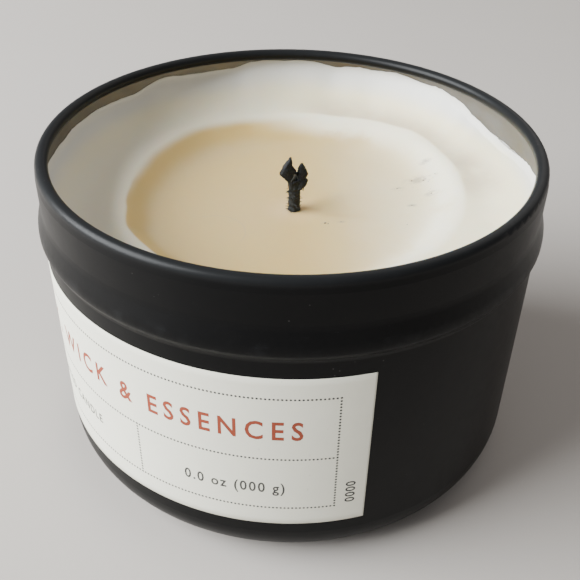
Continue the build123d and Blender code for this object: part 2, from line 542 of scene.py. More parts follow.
stub_hug_r = 0.84
bore_r = 1.02
wax_gap = 0.05
top_radii = spread(stub_hug_r, 3.0, 12) + spread(3.0, 15.0, 16) + spread(15.0, 27.5, 46)
top_radii += spread(27.5, 31.0, 14) + spread(31.0, shore_r / mm, 10)
film_steps = 10


def under_profile():
    """The rest of the profile in mm, from below the shore round to the wick's hole."""
    inner = neck_inner_r / mm - wax_gap
    bulge = (bead_r - sheet) / mm - wax_gap
    wall = (wall_r - sheet) / mm - wax_gap
    points = [(inner, 39.4), (inner + 0.08, 38.4), (bulge - 0.2, 37.0), (bulge, bead_mid / mm)]
    points += [(bulge - 0.25, 35.0), (wall, bead_low / mm), (wall, 28.0), (wall, 20.0), (wall, 12.0)]
    turn = corner_r / mm
    for i in range(9):
        a = math.radians(90 * i / 8)
        points.append((wall - turn + 0.3 + (turn - 0.3) * math.cos(a), turn - (turn - 0.3) * math.sin(a)))
    over_base = [(26.5, 0.3), (25.6, 0.75), (24.8, 1.3), (18.0, 1.3)]
    over_pad = [(9.05, 1.3), (9.05, 1.62)]
    over_tab = [(10.05, 1.66), (10.05, 1.97), (7.5, 2.0), (6.5, 2.32), (5.5, 2.0), (2.4, 2.0)]
    round_neck = [(1.65, 2.3), (1.38, 3.0), (1.38, 8.0)]
    round_wick = [(bore_r, 8.1), (bore_r, 20.0), (bore_r, 32.6), (0.88, 32.85)]
    return points + over_base + over_pad + over_tab + round_neck + round_wick


print("profile:", len(top_radii), "radii on top,", len(under_profile()), "points below")

# %% [markdown]
# The profile is carried round, worked out afresh for each direction, and skinned. The mesh also
# remembers how far each point lies past the lip, because colour follows the lip more closely than
# any circle could.

# %% Build the wax
def place(radius, height, angle):
    """Inner rings turn about the wick and outer ones about the tin."""
    lean = 1 - min(1.0, max(0.0, (radius - 10.5) / 6.0))
    across = wick_x * lean + radius * mm * math.cos(angle)
    along = wick_y * lean + radius * mm * math.sin(angle)
    return Vector((across, along, height))


def wax_rings(count):
    """The whole profile, ring by ring: the top, the film up to the shore, and the way back under."""
    angles = [full_turn * i / count for i in range(count)]
    rings = []
    for radius in top_radii:
        ring = [place(radius, 0, a) for a in angles]
        for p in ring:
            p.z = surface(p.x, p.y)
        rings.append(ring)
    edge = rings[-1]
    film_in = neck_inner_r / mm
    edge_r = top_radii[-1]
    film_r = film_in - 0.035
    for k in range(1, film_steps + 1):
        t = k / film_steps
        radius = edge_r + (film_r - edge_r) * (1 - (1 - t) ** 1.7)
        ring = [place(radius, start.z + (shore(a) - start.z) * t, a) for start, a in zip(edge, angles)]
        rings.append(ring)
    rings.append([place(film_in - 0.02, shore(a) - 0.10 * mm, a) for a in angles])
    for radius, height in under_profile():
        rings.append([place(radius, height * mm, a) for a in angles])
    return rings


wax_mesh = skin("wax", wax_rings(320), joined_ends=True)
past_lip = wax_mesh.attributes.new("past_lip", "FLOAT", "POINT")
for spot, vertex in zip(past_lip.data, wax_mesh.vertices):
    step, _, cone = step_and_ring(vertex.co.x, vertex.co.y)
    spot.value = max(-3.0, min(3.0, step - cone))
print("wax:", len(wax_mesh.polygons), "faces")

# %% [markdown]
# Wax scatters light under its surface, so it looks soft and glows a little where it is thin.
# The finish gives that with subsurface scattering, whose amounts are the same wherever the wax
# is deep. The film on the wall is too thin to scatter, so it has a second, plain shader, and a
# Mix Shader goes from one to the other. The colour changes a little too: paler wax beyond the
# step, a scorched ring at the wick, and grey smears where soot has settled. Light and shade are
# painted into the colour as well: an ochre painted shade on the steep step, painted light on the
# pool's right side, a painted highlight on the lip and painted shade in the trough beyond it.
# The soot and the scratch are drawn first, as masks: a soft oval torn by streaks, and an arc.

# %% Draw the soot marks and the scratch
def smudge(f, x, y, size, stretch):
    """A soft oval mark on the surface, 1 in the middle."""
    dx = (f.x - x * mm) / (size * mm * stretch)
    dy = (f.y - y * mm) / (size * mm)
    far = (dx * dx + dy * dy).math("SQRT")
    return far.below(0.6, 0.8)


# Each soot mark in mm: x, y, how far it reaches along y, and how many times farther along x.
soot_marks = [
    (4.75, -2.75, 0.50, 1.8), (6.9, -2.25, 0.45, 2.0), (18.3, 8.7, 1.5, 1.6), (20.4, 8.5, 1.1, 1.3),
    (15.6, 7.0, 0.7, 2.0), (20.1, 4.4, 0.9, 1.5), (17.1, 2.1, 0.6, 1.6), (20.1, 12.6, 0.9, 1.4),
]


def mark(f, x, y, size, long):
    """A faint dusty mark: a soft spot, torn by streaks."""
    streaks = f.noise(900, 5, 0.7, stretch=(0.7, 1.4, 1.0))
    return smudge(f, x, y, size, long) * streaks.above(0.50, 0.18)


def hair_scratch(f):
    """A hair-thin scratch, curved round a point in front of the wick and to its left."""
    wave = f.noise(180, 2) * (0.8 * mm)
    off_arc = (f.far_from(-10.6 * mm, -5.9 * mm) - 4.1 * mm - wave).math("ABSOLUTE")
    return off_arc.below(0.06 * mm, 0.07 * mm) * (f.x + f.y).above(-14.5 * mm, 1.5 * mm)


print("soot marks:", len(soot_marks))

# %% [markdown]
# The colours go on in layers, as a painter would lay them: the pool, its right side in painted
# light, the step in ochre painted shade, the cream ring, painted shade in the trough beyond the
# lip, the lip's painted highlight and the film. The step's painted shade ends crisply at the left
# and softly at the back.

# %% Make the wax's finish
def layered_colour(f, past):
    """The wax's colour, with painted light and shade in it, and the masks of its ring and of its film."""
    cloud = f.noise(70, 3)
    colour = f.mix(cloud, (0.520, 0.416, 0.260, 1), (0.545, 0.449, 0.296, 1))
    # Painted light: the pool's right side, which faces the window, is made paler and yellower.
    lit_right_side = f.x.above(9 * mm, 20 * mm)
    colour = f.mix(lit_right_side * 0.72, colour, (0.82, 0.715, 0.440, 1))
    to_back_right = (f.x * 0.94 + f.y * 0.34).above(8 * mm, 16 * mm)
    at_back = f.y.above(3 * mm, 12 * mm)
    crisp_end = past.below(0.0, 0.25)
    soft_end = past.below(-0.1, 1.0)
    # Painted shade: the steep step, turned from the window, is coloured ochre like light scattered through
    # shaded wax. The colour ends crisply at the left and softly at the back.
    shaded_step = past.above(-2.0, 1.6) * (crisp_end + at_back * (soft_end - crisp_end))
    colour = f.mix(shaded_step * (1 - lit_right_side) * 0.88, colour, (0.58, 0.405, 0.130, 1))
    crisp_start = past.above(0.0, 0.35)
    soft_start = past.above(-0.1, 1.3)
    on_left = crisp_start + at_back * (soft_start - crisp_start)
    on_ring = on_left * (1 - to_back_right) + past.above(-0.2, 2.4) * to_back_right
    cream = f.mix(to_back_right, (0.80, 0.755, 0.590, 1), (0.82, 0.755, 0.535, 1))
    colour = f.mix(on_ring * 0.88, colour, cream)
    # Painted shade: the shallow trough beyond the lip at the right back is darkened.
    right_back = f.x.above(3 * mm, 9 * mm) * f.y.above(2 * mm, 8 * mm)
    shaded_trough = past.above(1.0, 1.2) * f.radius.below(29.5 * mm, 3.0 * mm) * right_back
    shaded_trough = shaded_trough * f.noise(110, 3).above(0.40, 0.4)
    colour = f.mix(shaded_trough * 0.75, colour, (0.56, 0.465, 0.325, 1))
    # Painted highlight: the lip at the right back, which faces the window, is made brighter.
    lip = past.above(-1.0, 1.2) * past.below(0.9, 1.0) * to_back_right * f.noise(170, 4).above(0.34, 0.30)
    colour = f.mix(lip * 0.85, colour, (0.90, 0.860, 0.690, 1))
    film = f.radius.above(31.2 * mm, 2.4 * mm) * f.z.above(38.4 * mm, 2.4 * mm)
    return f.mix(film * 0.9, colour, (0.63, 0.63, 0.61, 1)), on_ring, film


def wax_finish():
    f = Finish("cream_wax")
    fine = f.noise(650, 5, 0.6)
    past = f.add("ShaderNodeAttribute", {"attribute_name": "past_lip"}, out=2)
    colour, on_ring, film = layered_colour(f, past)

    # Round the wick the wax has been scorched, and is warmer for a few millimetres.
    from_wick = f.far_from(wick_x, wick_y)
    scorch = from_wick.below(1.05 * mm, 0.45 * mm) * f.noise(900, 3).above(0.40, 0.3)
    colour = f.mix(scorch * 0.55, colour, (0.22, 0.12, 0.06, 1))
    warm = from_wick.below(3.0 * mm, 4.5 * mm)
    colour = f.mix(warm * 0.28, colour, (0.78, 0.52, 0.32, 1))

    # Soot: a few faint dusty marks, and one scratch.
    soot = sum(mark(f, *numbers) for numbers in soot_marks)
    colour = f.mix((soot * 0.55).math("MINIMUM", 0.7), colour, (0.26, 0.22, 0.175, 1))
    hair = hair_scratch(f)
    colour = f.mix(hair * 0.40, colour, (0.40, 0.32, 0.23, 1))

    rough = 0.44 + fine * 0.12 + on_ring * 0.06 - film * 0.12
    height = fine * 0.35 + f.noise(2600, 4) * 0.12 - hair * 0.35
    normal = f.bump(height, 0.02 * mm, 0.55, under=f.bump(f.noise(190, 3), 0.08 * mm, 0.35))
    deep = f.principled(
        Base_Color=colour, Roughness=rough, Normal=normal, Subsurface_Weight=0.85,
        Subsurface_Radius=(1.0, 0.72, 0.46), Subsurface_Scale=1.6 * mm, IOR=1.43,
    )
    thin = f.principled(Base_Color=colour, Roughness=rough, Normal=normal, IOR=1.43)
    return f.end(f.add("ShaderNodeMixShader", None, {0: film, 1: deep, 2: thin}))


wax = new_piece("wax", wax_mesh, wax_finish())
settle(wax, "wax_fill")

# %% [markdown]
# ## The label's paper
#
# The label is a strip of uncoated paper wrapped round the wall. It is a thin shell with real
# edges, because the light line of its cut edge is what tells paper from print on metal. Its top
# edge is a straight cut, its thickness a tenth of a millimetre.

# %% Wrap the paper
label_low, label_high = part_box("side_label")
label_bottom = label_low[2]
label_top = label_high[2]
label_right = math.radians(-72.8)
label_left = math.radians(-188.0)
paper_in = wall_r + 0.012 * mm
paper_out = wall_r + 0.11 * mm
label_slices = 300
label_rows = 24


def on_wall(angle, height, radius):
    """A point at that distance from the tin's axis."""
    return Vector((radius * math.cos(angle), radius * math.sin(angle), height))


def label_rings():
    """Slices across the strip, each going round the paper's thickness."""
    rings = []
    height = label_top - label_bottom
    heights = [label_bottom + height * i / label_rows for i in range(label_rows + 1)]
    round_off = 0.02 * mm
    for i in range(label_slices + 1):
        a = label_right + (label_left - label_right) * i / label_slices
        front = [on_wall(a, h, paper_out) for h in heights]
        front[0] = on_wall(a, label_bottom + round_off, paper_out)
        front[-1] = on_wall(a, label_top - round_off, paper_out)
        back = [on_wall(a, h, paper_in) for h in reversed(heights)]
        top = [on_wall(a, label_top, paper_out - round_off)]
        bottom = [on_wall(a, label_bottom, paper_out - round_off)]
        rings.append(front + top + back + bottom)
    return rings


def strip_mesh(name):
    """The rings' skin, whose two ends are closed with one face each."""
    mesh = skin(name, label_rings(), caps=False)
    shape = bmesh.new()
    shape.from_mesh(mesh)
    bmesh.ops.holes_fill(shape, edges=[e for e in shape.edges if e.is_boundary], sides=0)
    bmesh.ops.recalc_face_normals(shape, faces=shape.faces[:])
    shape.to_mesh(mesh)
    shape.free()
    return mesh


label_mesh = strip_mesh("label")
print("label: %.1f mm long, %.1f mm high" % (
    (label_right - label_left) * paper_out / mm, (label_top - label_bottom) / mm
))

# %% [markdown]
# Uncoated paper isn't one colour. Its fibres lie in soft flocks, a few flecks show, and the lower
# edge, where the tin is held and set down, has yellowed a little.

# %% Make the paper's finish
def paper_finish(name, tone):
    f = Finish(name)
    fibre = f.noise(2600, 6, 0.7, stretch=(1.0, 1.0, 0.45))
    flock = f.noise(420, 4, 0.6)
    cloud = f.noise(55, 2)
    pale = tuple(c * 1.045 for c in tone) + (1,)
    dark = tuple(c * 0.935 for c in tone) + (1,)
    colour = f.mix(flock * 0.6 + cloud * 0.4, dark, pale)
    fleck = f.cells(1100, stretch=(1.0, 1.0, 0.4)).below(0.10, 0.06) * f.noise(300, 2).above(0.57, 0.06)
    colour = f.mix(fleck * 0.20, colour, (0.36, 0.31, 0.24, 1))
    edge = f.z.below(label_bottom + 0.25 * mm, 0.5 * mm) * f.noise(260, 3).above(0.42, 0.2)
    colour = f.mix(edge * 0.25, colour, (0.42, 0.37, 0.29, 1))
    rough = 0.74 + fibre * 0.14
    normal = f.bump(fibre * 0.7 + flock * 0.5, 0.02 * mm, 0.6)
    return f.finish(Base_Color=colour, Roughness=rough, Normal=normal)


label = new_piece("label", label_mesh, paper_finish("label_paper", (0.775, 0.765, 0.645)))
settle(label, "side_label")
print("label:", len(label.data.polygons), "faces")

# %% [markdown]
# ## The printed dots
#
# The print has a frame of fine dots, with one dotted line across it and one short one down. A
# dotted line is a shape that repeats along a path, which is what Geometry Nodes are for.
#
# Four helpers serve every tree in this lesson. One starts a tree with named sizes, one reads a
# size, one ends it with real geometry and a material, and one puts it on a piece.

# %% Start, end and use a Geometry Nodes tree
def new_modifier_tree(name, sizes):
    """A Geometry Nodes tree with a geometry input and named sizes with default values."""
    group = bpy.data.node_groups.new(name, "GeometryNodeTree")
    face = group.interface
    face.new_socket("Geometry", in_out="INPUT", socket_type="NodeSocketGeometry")
    for size_name, (kind, value) in sizes.items():
        socket = face.new_socket(size_name, in_out="INPUT", socket_type=kind)
        socket.default_value = value
    face.new_socket("Geometry", in_out="OUTPUT", socket_type="NodeSocketGeometry")
    tree = Tree(group)
    tree.entry = group.nodes.new("NodeGroupInput")
    tree.exit = group.nodes.new("NodeGroupOutput")
    return tree


def entry(tree, name):
    """One of the tree's named inputs, as a wire."""
    return Wire(tree, tree.entry.outputs[name])


def end_tree(tree, shape_wire, material):
    """Every tree ends with real geometry and its material."""
    real = tree.add("GeometryNodeRealizeInstances", None, {0: shape_wire})
    real = tree.add("GeometryNodeSetMaterial", None, {"Geometry": real, "Material": material})
    tree.tree.links.new(real.socket, tree.exit.inputs[0])
    return tree.tree


def give_modifier(piece, group, **values):
    """Adds the tree to a piece and sets its sizes by the sockets' identifiers."""
    modifier = piece.modifiers.new("nodes", "NODES")
    modifier.node_group = group
    for item in group.interface.items_tree:
        key = item.name.replace(" ", "_").lower()
        if item.item_type == "SOCKET" and item.in_out == "INPUT" and key in values:
            modifier[item.identifier] = values[key]


print("a tree starts with its sizes and ends with real geometry")

# %% [markdown]
# The dots' tree walks the path, sets a small disc on each step with its face turned away from
# the tin's axis, and makes the discs real.

# %% Build a tree that sets dots along a path
def dots_tree(material):
    tree = new_modifier_tree("dots_on_a_path", {
        "Pitch": ("NodeSocketFloat", 0.34 * mm), "Dot Radius": ("NodeSocketFloat", 0.08 * mm),
    })
    path = entry(tree, "Geometry")
    line = tree.add("GeometryNodeMeshToCurve", None, {"Mesh": path})
    steps = tree.add(
        "GeometryNodeCurveToPoints", {"mode": "LENGTH"}, {"Curve": line, "Length": entry(tree, "Pitch")}
    )
    here = tree.add("GeometryNodeInputPosition")
    outward = tree.add("ShaderNodeVectorMath", {"operation": "MULTIPLY"}, {0: here, 1: (1.0, 1.0, 0.0)})
    turned = tree.add("FunctionNodeAlignRotationToVector", {"axis": "Z"}, {"Vector": outward})
    sizes = {"Vertices": 10, "Radius": entry(tree, "Dot Radius")}
    disc = tree.add("GeometryNodeMeshCircle", {"fill_type": "NGON"}, sizes)
    dots = tree.add(
        "GeometryNodeInstanceOnPoints", None, {"Points": steps, "Instance": disc, "Rotation": turned}
    )
    return end_tree(tree, dots, material)


def ink_finish(name, ink, spread_over):
    """Ink soaks in unevenly, so its colour and its sheen vary with the paper."""
    f = Finish(name)
    grain = f.noise(3800, 5, 0.7)
    flock = f.noise(500, 3)
    light = tuple(min(1.0, c * 1.35 + spread_over) for c in ink) + (1,)
    colour = f.mix(grain.above(0.5, 0.5) * 0.5 + flock * 0.3, ink + (1,), light)
    return f.finish(
        Base_Color=colour, Roughness=0.66 + grain * 0.16, Normal=f.bump(grain, 0.006 * mm, 0.5)
    )


grey_ink = ink_finish("grey_ink", (0.034, 0.032, 0.030), 0.008)
dot_nodes = dots_tree(grey_ink)
print("the dots' tree has", len(dot_nodes.nodes), "nodes")

# %% [markdown]
# The paths are open rows of edges just above the paper: three that run round the wall, and three
# that stand upright.

# %% Draw the paths and set the dots
def path_mesh(name, lines):
    """Open paths as one mesh of edges."""
    shape = bmesh.new()
    for line in lines:
        corners = [shape.verts.new(p) for p in line]
        for a, b in zip(corners, corners[1:]):
            shape.edges.new((a, b))
    mesh = bpy.data.meshes.new(name)
    shape.to_mesh(mesh)
    shape.free()
    return mesh


frame_right = math.radians(-79.6)
frame_left = math.radians(-181.2)
divider = math.radians(-123.4)
frame_top = 29.1 * mm
frame_middle = 19.5 * mm
frame_bottom = 10.9 * mm
print_r = paper_out + 0.006 * mm
arc_steps = 200


def arc_line(height):
    """A level line round the label's frame."""
    sweep = frame_left - frame_right
    angles = [frame_right + sweep * i / arc_steps for i in range(arc_steps + 1)]
    return [on_wall(angle, height, print_r) for angle in angles]


def upright(angle, low, high):
    """An upright line from low to high, in that direction."""
    return [on_wall(angle, low, print_r), on_wall(angle, high, print_r)]


dot_lines = [arc_line(frame_top), arc_line(frame_middle), arc_line(frame_bottom)]
dot_lines += [upright(frame_right, frame_bottom, frame_top), upright(frame_left, frame_bottom, frame_top)]
dot_lines += [upright(divider, frame_bottom, frame_middle)]
dots = new_piece("label_dots", path_mesh("label_dots", dot_lines), grey_ink)
give_modifier(dots, dot_nodes, pitch=0.47 * mm, dot_radius=0.145 * mm)
flatten(dots)
settle(dots)
print("label dots:", len(dots.data.polygons), "along", len(dot_lines), "lines")

# %% [markdown]
# ## The printed words
#
# The words are ordinary ones that any such label could carry, and the numbers are all noughts.
# Type is sized by its body, not by its letters, so the height of a capital is measured first.

# %% Measure a capital
def text_mesh(name, text, size, tracking=1.0, heavier=0.0):
    """A flat mesh of the text, with its letters spaced by tracking and thickened by heavier."""
    curve = bpy.data.curves.new(name, "FONT")
    curve.body = text
    curve.size = size
    curve.space_character = tracking
    curve.offset = heavier
    curve.resolution_u = 3
    carrier = bpy.data.objects.new(name, curve)
    bpy.context.scene.collection.objects.link(carrier)
    view = bpy.context.evaluated_depsgraph_get()
    mesh = bpy.data.meshes.new_from_object(carrier.evaluated_get(view), depsgraph=view)
    bpy.data.objects.remove(carrier)
    return mesh


capital = max(v.co.y for v in text_mesh("capital", "H", 1.0).vertices)
print("a capital is %.3f of the text size" % capital)

# %% [markdown]
# Each line is a text curve turned into a mesh, cut into narrow strips so that it can bend, and
# then wrapped: what was its width becomes an angle round the wall.

# %% Print lines of text on the wall
def print_text(name, text, material, right, baseline, cap, width, tracking, heavier, turned=False):
    """Prints text that ends at the angle right, with its baseline and capital height in metres."""
    mesh = text_mesh(name, text, cap / capital, tracking, heavier)
    shape = bmesh.new()
    shape.from_mesh(mesh)
    for v in shape.verts:
        v.co.x *= width
        if turned:
            v.co.x, v.co.y = -v.co.y, v.co.x
    end = max(v.co.x for v in shape.verts)
    start = min(v.co.x for v in shape.verts)
    strip = 0.35 * mm
    for k in range(1, int((end - start) / strip) + 1):
        everything = shape.verts[:] + shape.edges[:] + shape.faces[:]
        bmesh.ops.bisect_plane(
            shape, geom=everything, plane_co=(start + k * strip, 0, 0), plane_no=(1, 0, 0), dist=1e-8
        )
    for v in shape.verts:
        v.co = on_wall(right + (v.co.x - end) / print_r, baseline + v.co.y, print_r)
    for face in shape.faces:
        middle = face.calc_center_median()
        if face.normal.dot(Vector((middle.x, middle.y, 0))) < 0:
            face.normal_flip()
    bmesh.ops.triangulate(shape, faces=shape.faces[:])
    shape.to_mesh(mesh)
    shape.free()
    mesh.name = name
    piece = new_piece(name, mesh, material)
    settle(piece)
    print(name, "runs over %.1f mm" % ((end - start) / mm))


red_ink = ink_finish("rust_red_ink", (0.230, 0.036, 0.012), 0.006)
black_ink = ink_finish("black_ink", (0.030, 0.029, 0.028), 0.01)
print_text(
    "label_title", "WAX, WICK & ESSENCES", red_ink, right=math.radians(-86.7), baseline=22.8 * mm,
    cap=2.75 * mm, width=0.80, tracking=1.47, heavier=0.075 * mm,
)
print_text(
    "label_contents", "SCENTED CANDLE", grey_ink, right=math.radians(-136.0), baseline=14.6 * mm,
    cap=1.35 * mm, width=0.80, tracking=1.24, heavier=0.030 * mm,
)
print_text(
    "label_amount", "0.0 oz (000 g)", grey_ink, right=math.radians(-90.2), baseline=13.7 * mm,
    cap=1.60 * mm, width=0.78, tracking=1.21, heavier=0.035 * mm,
)
print_text(
    "label_code", "0000", black_ink, right=math.radians(-75.2), baseline=11.2 * mm,
    cap=1.2 * mm, width=1.0, tracking=1.1, heavier=0.030 * mm, turned=True,
)

# %% [markdown]
# ## The wick: a plait, its core, and what the flame left
#
# A candle wick is a plait of cotton yarns round a stiff core. Most of it is hidden in the wax,
# but it is a real piece, so it is plaited here as it would be on a braiding machine: half the
# yarns wind one way, half the other, and they swing in and out to pass each other. That is a
# shape that follows a rule, so a tree makes it: it copies a straight line once per yarn, and
# moves every point of it by a formula.

# %% Build a tree that plaits yarns
def plait_tree(name, material):
    tree = new_modifier_tree(name, {
        "Yarns": ("NodeSocketInt", 8), "Bottom": ("NodeSocketFloat", 0.0), "Top": ("NodeSocketFloat", 0.03),
        "Plait Radius": ("NodeSocketFloat", 0.0007), "Yarn Radius": ("NodeSocketFloat", 0.00025),
        "Turn Height": ("NodeSocketFloat", 0.008), "Swing": ("NodeSocketFloat", 0.0001),
        "Both Ways": ("NodeSocketFloat", 1.0), "Steps": ("NodeSocketInt", 160),
        "Centre X": ("NodeSocketFloat", 0.0), "Centre Y": ("NodeSocketFloat", 0.0),
    })
    low = tree.add("ShaderNodeCombineXYZ", None, {"Z": entry(tree, "Bottom")})
    high = tree.add("ShaderNodeCombineXYZ", None, {"Z": entry(tree, "Top")})
    line = tree.add("GeometryNodeCurvePrimitiveLine", None, {"Start": low, "End": high})
    line = tree.add("GeometryNodeResampleCurve", None, {"Curve": line, "Count": entry(tree, "Steps")})
    one_spot = {"Count": entry(tree, "Yarns"), "Offset": (0.0, 0.0, 0.0)}
    starts = tree.add("GeometryNodeMeshLine", None, one_spot)
    number = tree.add("GeometryNodeInputIndex")
    starts = tree.add(
        "GeometryNodeStoreNamedAttribute", {"data_type": "FLOAT", "domain": "POINT"},
        {"Geometry": starts, "Name": "yarn", "Value": number},
    )
    yarns = tree.add("GeometryNodeInstanceOnPoints", None, {"Points": starts, "Instance": line})
    yarns = tree.add("GeometryNodeRealizeInstances", None, {0: yarns})
    yarn = tree.add("GeometryNodeInputNamedAttribute", {"data_type": "FLOAT"}, {"Name": "yarn"})
    odd = yarn.math("MODULO", 2.0) * entry(tree, "Both Ways")
    way = 1 - odd * 2
    height = tree.add("ShaderNodeSeparateXYZ", None, {0: tree.add("GeometryNodeInputPosition")}, out=2)
    phase = yarn * full_turn / entry(tree, "Yarns")
    wound = height * full_turn / entry(tree, "Turn Height")
    angle = wound * way + phase
    beat = (wound * entry(tree, "Yarns") * 0.5 + yarn * (math.pi / 2)).math("SINE")
    radius = entry(tree, "Plait Radius") + beat * way * entry(tree, "Swing")
    place_x = radius * angle.math("COSINE") + entry(tree, "Centre X")
    place_y = radius * angle.math("SINE") + entry(tree, "Centre Y")
    new_place = tree.add("ShaderNodeCombineXYZ", None, {"X": place_x, "Y": place_y, "Z": height})
    yarns = tree.add("GeometryNodeSetPosition", None, {"Geometry": yarns, "Position": new_place})
    section = tree.add(
        "GeometryNodeCurvePrimitiveCircle", None, {"Resolution": 8, "Radius": entry(tree, "Yarn Radius")}
    )
    solid = tree.add(
        "GeometryNodeCurveToMesh", None, {"Curve": yarns, "Profile Curve": section, "Fill Caps": True}
    )
    solid = tree.add("GeometryNodeSetShadeSmooth", None, {"Geometry": solid})
    return end_tree(tree, solid, material)


print("the plait's tree is ready to be given its sizes")

# %% [markdown]
# Cotton is matt, with fine strands along each yarn, and stained where hot wax has soaked in. The
# same tree makes the plait, of eight yarns both ways, and the core, of three yarns one way.

# %% Plait the wick and twist its core
def cotton_finish(name, tone):
    f = Finish(name)
    strand = f.noise(2600, 5, 0.7, stretch=(1.0, 1.0, 0.3))
    soaked = f.noise(260, 3)
    colour = f.mix(strand, tuple(c * 0.80 for c in tone) + (1,), tuple(c * 1.08 for c in tone) + (1,))
    colour = f.mix(soaked.above(0.5, 0.3) * 0.4, colour, (0.66, 0.56, 0.40, 1))
    return f.finish(
        Base_Color=colour, Roughness=0.62 + strand * 0.2, Normal=f.bump(strand, 0.03 * mm, 0.8),
        Sheen_Weight=0.15,
    )


def plaited_piece(name, node, slot, material, **sizes):
    low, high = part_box(node)
    seed = bpy.data.meshes.new(name)
    seed.from_pydata([(0, 0, 0)], [], [])
    piece = new_piece(name, seed, material)
    give_modifier(
        piece, plait_tree(name + "_nodes", material), bottom=low[2], top=high[2],
        centre_x=wick_x, centre_y=wick_y, **sizes
    )
    flatten(piece)
    settle(piece, node)
    print(name, "has", len(piece.data.polygons), "faces")


plaited_piece(
    "wick_plait", "wick_braid", "cotton", cotton_finish("cotton_yarn", (0.78, 0.72, 0.60)),
    yarns=8, plait_radius=0.66 * mm, yarn_radius=0.245 * mm, turn_height=7.0 * mm, swing=0.08 * mm,
    steps=260,
)
plaited_piece(
    "wick_core_thread", "wick_core", "core_thread", cotton_finish("core_thread", (0.70, 0.63, 0.50)),
    yarns=3, plait_radius=0.15 * mm, yarn_radius=0.14 * mm, turn_height=2.4 * mm, swing=0.0,
    both_ways=0.0, steps=260,
)

# %% [markdown]
# ## The charred stub
#
# Above the wax the plait has burned to a brittle black stub, and its top has split into two
# curled lobes. The stem keeps the bumps of the plait. Each lobe is a flat leaf, slightly cupped,
# drawn as a stack of ovals.

# %% Shape the stem and the two lobes
lobe_points = 20
stem_points = 28
stem_levels = 50


def lobe(name, levels, lean):
    """A flat, slightly cupped leaf. Each level is (height, left, right, thickness, shift in y) in mm."""
    rings = []
    for height, left, right, thick, shift in levels:
        middle = (left + right) / 2
        half = (right - left) / 2
        ring = []
        for i in range(lobe_points):
            a = full_turn * i / lobe_points
            across = math.copysign(abs(math.cos(a)) ** 0.7, math.cos(a))
            through = math.copysign(abs(math.sin(a)) ** 0.8, math.sin(a))
            x = wick_x / mm + middle + half * across
            y = shift + thick / 2 * through - 0.18 * (1 - across * across) + lean * across * half
            ring.append(Vector((x, y + wick_y / mm, pool_floor / mm + height)) * mm)
        rings.append(ring)
    return skin(name, rings)


def stem_rings():
    """A stem that still shows the bumps of the plait."""
    rings = []
    for i in range(stem_levels):
        t = i / (stem_levels - 1)
        height = -0.55 + 5.3 * t
        ring = []
        for k in range(stem_points):
            a = full_turn * k / stem_points
            plait = 0.060 * math.sin(3 * a + 2.6 * height) * math.sin(3 * a - 2.6 * height)
            knots = 0.035 * math.sin(7.5 * height)
            r = (0.84 - 0.06 * t + plait + knots) * mm
            ring.append(on_wall(a, pool_floor + height * mm, r) + Vector((wick_x, wick_y, 0)))
        rings.append(ring)
    return rings


left_lobe = [
    (3.1, -0.80, 0.35, 1.30, 0.0), (4.0, -0.92, 0.35, 1.25, 0.0), (4.6, -1.10, 0.32, 1.15, -0.05),
    (5.1, -1.62, 0.28, 1.05, -0.1), (5.5, -2.08, 0.27, 0.95, -0.18), (5.85, -2.06, 0.24, 0.9, -0.22),
    (6.25, -1.90, 0.10, 0.85, -0.25), (6.8, -1.66, -0.34, 0.75, -0.25), (7.3, -1.30, -0.38, 0.65, -0.2),
    (7.75, -0.95, -0.42, 0.5, -0.1), (8.05, -0.70, -0.48, 0.3, 0.0),
]
right_lobe = [
    (3.1, -0.30, 0.78, 1.2, 0.0), (3.45, -0.2, 1.15, 1.15, 0.0), (3.9, -0.1, 1.62, 1.05, 0.05),
    (4.35, 0.0, 1.80, 0.95, 0.1), (4.65, 0.05, 1.84, 0.85, 0.15), (4.9, 0.1, 1.50, 0.8, 0.15),
    (5.2, 0.18, 1.66, 0.75, 0.12), (5.55, 0.26, 1.80, 0.7, 0.1), (6.0, 0.34, 1.68, 0.65, 0.05),
    (6.6, 0.46, 1.42, 0.55, 0.0), (7.0, 0.66, 1.22, 0.4, -0.05), (7.28, 0.86, 1.06, 0.25, -0.05),
]
print("lobes of %d and %d levels" % (len(left_lobe), len(right_lobe)))

# %% [markdown]
# Char is nearly black and crumbly. Where the two lobes part, pale ash has gathered in a fork, and
# lower down the stem is greyer. The same finish, in paler tones, serves for soot.

